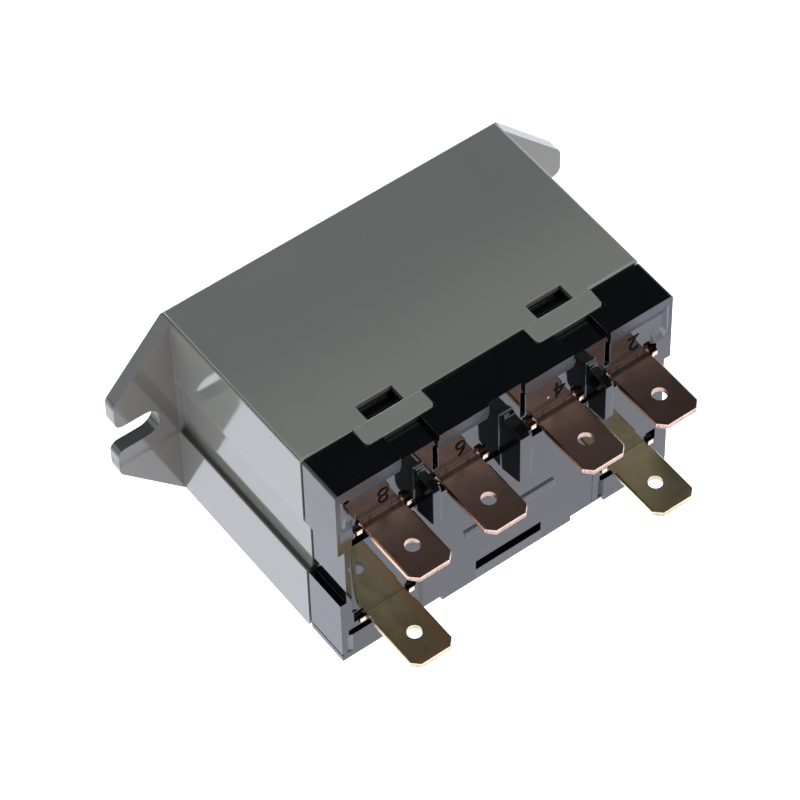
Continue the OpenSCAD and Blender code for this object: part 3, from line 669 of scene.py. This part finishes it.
def blade(node):
    """A terminal plate with rounded, slightly narrower lugs and a slight burr on its sheared edges"""
    shape = merged_copy(node)
    low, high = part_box(node)
    middle = (low.x + high.x) / 2

    def lug_ends(edge, depth):
        """For each end of an edge, whether it lies on a lug beyond that depth"""
        return [
            abs(v.co.x - middle) > BLADE_HALF * MM and v.co.y < (BACK - depth) * MM
            for v in edge.verts
        ]

    for vert in shape.verts:
        if abs(vert.co.x - middle) > 3.5 * MM and vert.co.y < (BACK - LUG_ROOT) * MM:
            vert.co.x -= math.copysign(LUG_TAPER * MM, vert.co.x - middle)
    round_sharp(shape, 30, lambda edge: all(lug_ends(edge, 35.5)), 0.28, 4)
    round_sharp(shape, 50, lambda edge: not any(lug_ends(edge, LUG_ROOT)), 0.1, 2, rim=0.8)
    in_place_of(node, shape)


def pressed_spring(node, joint, seat, travel):
    """A coil spring in place of its CAD node, with a mesh of its own; it works out from the travel in
    millimetres how much of its length to keep, but is not shortened. Its seat, given as a height, is not
    used.
    """
    piece = in_place_of(node, merged_copy(node))
    low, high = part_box(node)
    keep = 1 - travel * MM / (high.z - low.z)
    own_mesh(piece)


def tighten_loop_corners(shape):
    """Pulls the rounded corners of the cover's snap loops outward, to a smaller radius"""
    reach = 1.51
    for vert in shape.verts:
        for corner in LOOP_CORNERS:
            low = (corner - reach, LOOP_END - reach, -1)
            high = (corner + reach, LOOP_END, TOP + 1)
            if inside((low, high), vert.co):
                tip = Vector((math.copysign(corner, vert.co.x), BACK - LOOP_END, vert.co.z / MM)) * MM
                vert.co = tip + (vert.co - tip) * 0.45


def cover():
    """The cover with softly rounded outer edges and crisper snap loops"""
    shape = merged_copy("cover")
    tighten_loop_corners(shape)

    def along(across, height):
        """Edges that run from back to front at that distance from the middle and that height"""

        def on_line(place):
            return abs(abs(place.x) / MM - across) < 0.02 and abs(place.z / MM - height) < 0.02

        return sharp_edges(shape, 20, lambda edge: all(on_line(v.co) for v in edge.verts))

    round_off(shape, along(WAIST_X, WAIST_LOW), 0.55, 5)
    round_off(shape, along(HALF_WIDTH, WAIST_LOW), 0.3, 4)
    round_off(shape, along(HALF_WIDTH, WAIST_TOP), 0.1, 1, rim=0.7)
    done = both_inside(
        ((24, 0, 10.8), (25.2, COVER_END, 12.2)),
        ((24.8, 0, 21.2), (25.2, COVER_END, 21.6)),
        ((24.6, 0, TOP - 0.5), (25.2, COVER_END, TOP)),
        ((7.5, COVER_END - 0.2, -1), (17.8, 32, TOP + 1)),
        ((9.7, 25.5, -1), (15.5, 28.5, TOP + 1)),
    )
    wall_inside = both_inside(((0, 0, 1.3), (23.8, 29, TOP - 1.3)))
    loops = both_inside(((7.6, COVER_END, -1), (17.7, 32, TOP + 1)))
    windows = both_inside(
        ((9.9, 25.7, TOP - 0.1), (15.3, 28.35, TOP)),
        ((9.9, 25.7, 0), (15.3, 28.35, 0.1)),
    )
    end = both_inside(((0, COVER_END, -1), (26, COVER_END, TOP + 1)))
    end_top = both_inside(
        ((0, COVER_END, TOP - 0.01), (26, COVER_END, TOP)),
        ((0, COVER_END, 0), (26, COVER_END, 0.01)),
    )

    def remaining(edge):
        return not (wall_inside(edge) or done(edge))

    def at_root(edge):
        return not edge.is_convex and all(v.co.y > (BACK - 4) * MM for v in edge.verts)

    def in_front(edge):
        return all(v.co.y < (BACK - COVER_END + 0.3) * MM for v in edge.verts)

    round_sharp(shape, 30, lambda edge: loops(edge) or windows(edge), 0.12, 2, rim=0.55)
    frame_edges = set(along(HALF_WIDTH, TOP)) | set(sharp_edges(shape, 60, end_top))
    round_off(shape, list(frame_edges), 0.3, 3, rim=0.9)
    round_sharp(shape, 30, lambda edge: end(edge) and remaining(edge), 0.08, 1)
    round_sharp(shape, 20, lambda edge: remaining(edge) and at_root(edge), 0.08, 1)
    round_sharp(shape, 20, lambda edge: remaining(edge) and not in_front(edge), 0.28, 3, rim=0.3)
    in_place_of("cover", shape)


def ease_front(shape):
    """Slopes the bay's end walls, makes the hairline groove shallow and narrows the lugs' notches"""
    outward, inward_upper, inward_lower = 0.4, 0.1, 0.5
    step_low, step_high, step_rise = 25.9, 26.9, 1.6
    groove_depth = 0.05
    notch_shift = 0.4
    for vert in shape.verts:
        side = math.copysign(1, vert.co.x)
        if inside(BAY_END_EDGES, vert.co):
            vert.co.x += side * outward * MM
        elif inside(BAY_END_FEET, vert.co):
            inward = inward_upper if abs(vert.co.x) > 22.9 * MM else inward_lower
            vert.co.x -= side * inward * MM
            # The step at the foot of the end wall becomes a ramp
            if step_low * MM < vert.co.z < step_high * MM:
                vert.co.z += step_rise * MM - (vert.co.z - 26 * MM) * 0.9
        elif vert.co.x > 0 and inside(HAIRLINE_GROOVE, vert.co):
            vert.co.y = (BACK - FACE + groove_depth) * MM
        elif inside(NOTCHES, vert.co):
            for centre in LOAD_X:
                beside = abs(vert.co.x) / MM - centre
                if abs(abs(beside) - NOTCH_WALL) < 0.03:
                    vert.co.x -= math.copysign(notch_shift * MM, beside) * side


def round_base(shape):
    """Fillets at the roots of the barriers, a softened shell and fine inner edges"""
    root = both_inside(
        ((0.8, BAY_FACE - 0.1, 19.5), (1, FACE + 0.1, 29.6)),
        ((12.1, BAY_FACE - 0.1, 21), (13.6, FACE + 0.1, 29.3)),
    )
    shell = both_inside(
        ((24.1, SHELL_START, 0), (25.2, FACE, TOP)),
        ((0, SHELL_START, TOP - 0.1), (25.2, FACE, TOP)),
    )
    pad = both_inside(
        ((6.5, FACE, 9.9), (7.3, FACE + 0.3, 11.3)),
        ((0, FACE + 0.2, 9.9), (7.3, FACE + 0.3, 11.3)),
    )
    slots = both_inside(((2.2, BAY_FACE - 2.5, 26.2), (15.9, FACE, 31.1)))
    top_side = both_inside(((25.1, SHELL_START, TOP - 0.05), (25.2, FACE, TOP)))
    rounded = both_inside(((24.7, SHELL_START, TOP - 0.45), (25.2, FACE, TOP)))

    def fine(edge):
        return not (shell(edge) or root(edge) or pad(edge) or slots(edge))

    def on_barrier(edge):
        return all(
            v.co.y < (BACK - FACE - 0.2) * MM and abs(v.co.x) < 14 * MM and v.co.z > 19 * MM
            for v in edge.verts
        )

    def long(edge):
        return edge.calc_length() > 0.9 * MM

    round_sharp(shape, 60, lambda edge: root(edge) and long(edge), 0.25, 3, rim=0.15)
    round_sharp(shape, 60, top_side, 0.4, 3, rim=0.6)
    round_sharp(shape, 30, lambda edge: shell(edge) and long(edge) and not rounded(edge), 0.22, 3, rim=0.3)
    round_sharp(shape, 60, pad, 0.22, 4, rim=0.5)
    round_sharp(shape, 60, lambda edge: slots(edge) and not root(edge), 0.13, 2, rim=1.0)
    round_sharp(shape, 60, lambda edge: fine(edge) and on_barrier(edge), 0.1, 2, rim=0.15)
    round_sharp(shape, 60, lambda edge: fine(edge) and not on_barrier(edge), 0.06, 1, rim=0.7)


def base_finish(face):
    """The material slot of one face of the base"""
    middle = face.calc_center_median()
    across = abs(middle.x) / MM
    fins = across < 1 or 12.2 < across < 13.6
    if fins and middle.y < (BACK - FACE - 0.3) * MM and abs(face.normal.x) > 0.9:
        return BARRIER
    # The slopes and the right groove take the dull finish with painted shade
    if 30 < middle.z / MM < BAY_TOP and face.normal.z < -0.15 and face.normal.y < -0.8:
        return SLOPE
    if middle.x > 0 and inside(RIGHT_GROOVE, middle):
        return SLOPE
    # The bay's end walls and the left groove take the dull finish with painted light
    if inside(BAY_END_WALLS, middle) and abs(face.normal.y) < 0.97:
        return BAY_END
    if middle.x < 0 and inside(LEFT_GROOVE, middle):
        return BAY_END
    return face.material_index


def base():
    """The base with its eased front, rounded edges, duller barrier sides, painted shade on the slopes and
    painted light on the bay's end walls
    """
    shape = merged_copy("base")
    ease_front(shape)
    round_base(shape)
    shape.normal_update()
    for face in shape.faces:
        face.material_index = base_finish(face)
    piece = in_place_of("base", shape)
    for finish in (BARRIER_BLACK, SLOPE_PAINTED_SHADE, BAY_END_PAINTED_LIGHT):
        piece.data.materials.append(finish)


def digit(figure, x, z):
    """A raised terminal number on the bay's face, upside down as on the real part"""
    curve = bpy.data.curves.new("terminal_number_" + figure, "FONT")
    curve.body = figure
    curve.align_x = "CENTER"
    curve.align_y = "CENTER"
    curve.size = 3.9 * MM
    curve.offset = -0.09 * MM
    curve.extrude = 0.05 * MM
    curve.bevel_depth = 0.05 * MM
    curve.bevel_resolution = 1
    holder = bpy.data.objects.new(curve.name + "_outline", curve)
    bpy.context.scene.collection.objects.link(holder)
    bpy.context.view_layer.update()
    mesh = bpy.data.meshes.new_from_object(holder)
    bpy.data.objects.remove(holder)
    turn = Matrix.Rotation(math.pi, 4, "Y") @ Matrix.Rotation(math.radians(90), 4, "X")
    place = Matrix.Translation(Vector((x, BACK - BAY_FACE, z)) * MM)
    shape = bmesh.new()
    shape.from_mesh(mesh)
    shape.transform(place @ turn)
    bmesh.ops.remove_doubles(shape, verts=shape.verts, dist=0.001 * MM)
    piece = finished("terminal_number_" + figure, shape, "base_plastic", "housing")
    piece.data.materials[0] = NUMBER_BLACK


# Stage, light and camera


def stage_floor():
    """White light table that the relay lies on"""
    shape = bmesh.new()
    bmesh.ops.create_grid(shape, x_segments=1, y_segments=1, size=6)
    mesh = bpy.data.meshes.new("floor")
    shape.to_mesh(mesh)
    shape.free()
    mesh.transform(Matrix.Translation((0, 0, -0.02 * MM)))
    floor = bpy.data.objects.new("floor", mesh)
    bpy.context.scene.collection.objects.link(floor)
    shader = Shader("floor_white", Roughness=0.6, Specular_IOR_Level=0.0, Emission_Strength=1.0)
    shader.set("Base Color", (0.3, 0.3, 0.3))
    x, d, _ = shader.axes()
    # A little brighter towards the large light at the front right
    towards = x * 0.578 + (d - BACK) * 0.816
    glow = shader.mix(towards.smooth(-45, 60), (1.7, 1.75, 1.95), (1.75, 1.82, 2.04))
    shader.set("Emission Color", glow)
    mesh.materials.append(shader.material)


def soft_box(name, direction, size, power):
    """Square area light that shines on the relay from a direction"""
    lamp = bpy.data.lights.new(name, "AREA")
    lamp.shape = "SQUARE"
    lamp.size = size
    lamp.energy = power
    light = bpy.data.objects.new(name, lamp)
    bpy.context.scene.collection.objects.link(light)
    away = Vector(direction).normalized()
    light.location = AIM + away * LIGHT_DISTANCE
    light.rotation_mode = "QUATERNION"
    light.rotation_quaternion = (-away).to_track_quat("-Z", "Y")


def surroundings():
    """A faint, cool glow from everywhere else"""
    world = bpy.data.worlds.new("studio")
    bpy.context.scene.world = world
    world.use_nodes = True
    background = world.node_tree.nodes["Background"]
    background.inputs["Color"].default_value = (0.9, 0.95, 1.0, 1)
    background.inputs["Strength"].default_value = 0.06


def camera():
    """The photograph's camera"""
    data = bpy.data.cameras.new("camera")
    data.sensor_width = SENSOR
    data.lens = LENS
    data.clip_start = 10 * MM
    data.clip_end = 20
    view = bpy.data.objects.new("camera", data)
    bpy.context.scene.collection.objects.link(view)
    azimuth, elevation = math.radians(AZIMUTH), math.radians(ELEVATION)
    level = math.cos(elevation)
    back = Vector((math.sin(azimuth) * level, -math.cos(azimuth) * level, math.sin(elevation)))
    view.location = AIM + back * DISTANCE
    view.rotation_mode = "QUATERNION"
    roll = Quaternion((0, 0, 1), math.radians(ROLL))
    view.rotation_quaternion = (-back).to_track_quat("-Z", "Y") @ roll
    bpy.context.scene.camera = view


def studio():
    """Floor, lights and camera"""
    bpy.context.scene.view_settings.view_transform = "Standard"
    stage_floor()
    surroundings()
    soft_box("left_box", (-0.8, 0.45, 0.33), size=0.4, power=0.9)
    soft_box("back_box", (0.1, 1.0, 0.35), size=0.6, power=4)
    soft_box("right_box", (0.358, -0.506, 0.785), size=0.85, power=5)
    camera()


# Each terminal number with its x and z
NUMBERS = (("8", -18.0, 27.7), ("6", -6.6, 27.7), ("4", 8.15, 27.7), ("2", 19.45, 27.8))

# Each coil spring, the joint that presses it, the height of its seat and how far it is pressed
PRESSED = {
    "return_spring": ("card_slide", 24.2, 1.68),
    "contact_spring_left": ("bridge_left_slide", 29.5, 0.58),
    "contact_spring_right": ("bridge_right_slide", 29.5, 0.58),
}

# Rigid pieces inside the housing and the radius on their edges
SOFTENED = {
    "yoke": 0.2,
    "core": 0.25,
    "bobbin": 0.15,
    "armature": 0.15,
    "card": 0.12,
    "bridge_left": 0.08,
    "bridge_right": 0.08,
    "fixed_contacts": 0.12,
    "moving_contacts_left": 0.1,
    "moving_contacts_right": 0.1,
}

cover()
base()
for number in NUMBERS:
    digit(*number)
for node, slot in SLOTS.items():
    if slot in ("load_copper", "coil_brass"):
        blade(node)
    elif node in SOFTENED:
        softened(node, SOFTENED[node])
    elif node in PRESSED:
        pressed_spring(node, *PRESSED[node])
    elif node not in ("cover", "base"):
        # The CAD node stays, with a better material
        frame["nodes"][node].data.materials.clear()
        frame["nodes"][node].data.materials.append(MATERIALS[slot])
studio()
